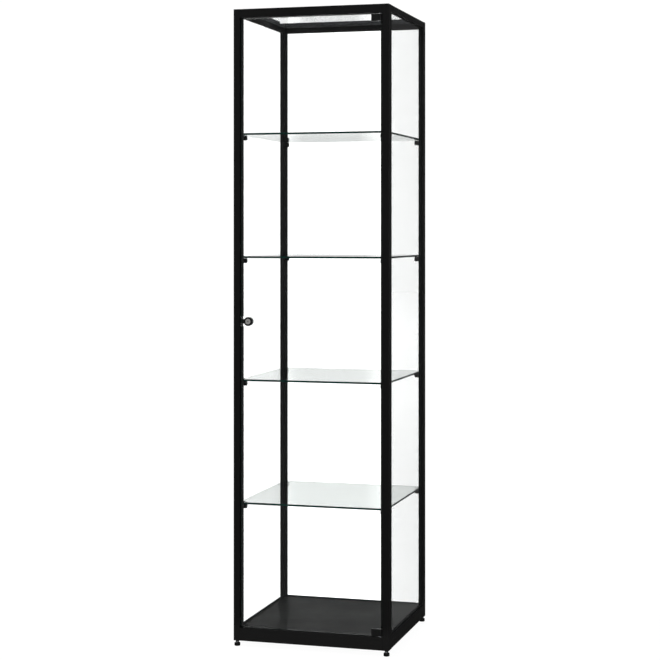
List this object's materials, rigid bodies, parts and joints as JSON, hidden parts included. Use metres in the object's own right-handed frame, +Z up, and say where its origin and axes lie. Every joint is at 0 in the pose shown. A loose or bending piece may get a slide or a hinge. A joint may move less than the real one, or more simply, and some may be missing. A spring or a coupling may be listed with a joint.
{
  "type": "glass display case",
  "caption": "Tall free-standing display case with a slim black metal frame, glass sides and top, glass shelves on studs, a pivot-hinged glass door with a cylinder lock, and levelling feet.",
  "frame": {"origin": "on the floor, under the middle of the case", "axes": "+Z up, -Y towards the person who opens the door, +X to that person's right, the hinge side"},
  "size_m": [0.5, 0.5, 1.99],
  "materials": {
    "frame_black": "satin powder coat",
    "black_plastic": "fine matt",
    "joiner_zinc": "raw casting",
    "black_zinc": "satin black",
    "floor_panel": "satin laminate",
    "clear_glass": "clear toughened",
    "smoked_glass": "dark tinted",
    "shelf_glass": "clear toughened with green edges",
    "seal_rubber": "matt",
    "clear_pad": "clear soft",
    "hinge_black": "satin black",
    "bright_steel": "plain turned",
    "lock_nickel": "nickel plate"
  },
  "bodies": {
    "frame": {"post_front_left": "frame_black", "post_front_right": "frame_black", "post_rear_left": "frame_black", "post_rear_right": "frame_black", "top_rail_front": "frame_black", "top_rail_rear": "frame_black", "top_rail_left": "frame_black", "top_rail_right": "frame_black", "base_rail_front": "frame_black", "base_rail_rear": "frame_black", "base_rail_left": "frame_black", "base_rail_right": "frame_black", "post_caps": "black_plastic", "hinge_dust_strip": "black_plastic", "foot_pad_front_left": "black_plastic", "foot_pad_front_right": "black_plastic", "foot_pad_rear_left": "black_plastic", "foot_pad_rear_right": "black_plastic", "top_corner_joiners": "joiner_zinc", "base_corner_joiners": "black_zinc", "strike_plate": "black_zinc", "strike_screws": "black_zinc", "shelf_clips_1": "black_zinc", "shelf_clips_2": "black_zinc", "shelf_clips_3": "black_zinc", "shelf_clips_4": "black_zinc", "base_panel": "floor_panel", "top_glass": "smoked_glass", "side_glass_left": "clear_glass", "side_glass_right": "clear_glass", "rear_glass": "clear_glass", "shelf_1": "shelf_glass", "shelf_2": "shelf_glass", "shelf_3": "shelf_glass", "shelf_4": "shelf_glass", "top_seal": "seal_rubber", "side_seal_left": "seal_rubber", "side_seal_right": "seal_rubber", "rear_seal": "seal_rubber", "door_stop_strips": "seal_rubber", "shelf_pads": "clear_pad", "pivot_bushes": "bright_steel"},
    "door": {"door_glass": "clear_glass", "hinge_clamp_top": "hinge_black", "hinge_clamp_bottom": "hinge_black", "hinge_plates": "hinge_black", "hinge_gaskets": "seal_rubber", "hinge_screws": "bright_steel", "pivot_pins": "bright_steel", "lock_rosette": "hinge_black", "lock_barrel": "lock_nickel", "lock_case": "hinge_black", "lock_cover": "hinge_black"},
    "lock_plug": {"lock_plug": "lock_nickel"},
    "lock_bolt": {"lock_bolt": "bright_steel"},
    "foot_screw_front_left": {"foot_screw_front_left": "bright_steel"},
    "foot_screw_front_right": {"foot_screw_front_right": "bright_steel"},
    "foot_screw_rear_left": {"foot_screw_rear_left": "bright_steel"},
    "foot_screw_rear_right": {"foot_screw_rear_right": "bright_steel"}
  },
  "joints": [
    {"name": "door_swing", "type": "hinge", "parent": "frame", "child": "door", "pos_m": [0.2225, -0.243, 0.061], "axis": [0, 0, 1], "range_deg": [0, 95]},
    {"name": "lock_turn", "type": "hinge", "parent": "door", "child": "lock_plug", "pos_m": [-0.203, -0.2455, 1.0145], "axis": [0, -1, 0], "range_deg": [0, 90]},
    {"name": "bolt_throw", "type": "slide", "parent": "door", "child": "lock_bolt", "axis": [-1, 0, 0], "range_m": [0, 0.007]},
    {"name": "foot_turn_front_left", "type": "hinge", "parent": "frame", "child": "foot_screw_front_left", "pos_m": [-0.2407, -0.24, 0.012], "axis": [0, 0, -1], "range_deg": [0, 5400]},
    {"name": "foot_turn_front_right", "type": "hinge", "parent": "frame", "child": "foot_screw_front_right", "pos_m": [0.2407, -0.24, 0.012], "axis": [0, 0, -1], "range_deg": [0, 5400]},
    {"name": "foot_turn_rear_left", "type": "hinge", "parent": "frame", "child": "foot_screw_rear_left", "pos_m": [-0.2407, 0.24, 0.012], "axis": [0, 0, -1], "range_deg": [0, 5400]},
    {"name": "foot_turn_rear_right", "type": "hinge", "parent": "frame", "child": "foot_screw_rear_right", "pos_m": [0.2407, 0.24, 0.012], "axis": [0, 0, -1], "range_deg": [0, 5400]}
  ],
  "couplings": [
    {"joint": "bolt_throw", "follows": "lock_turn", "m_per_rad": 0.004456}
  ]
}
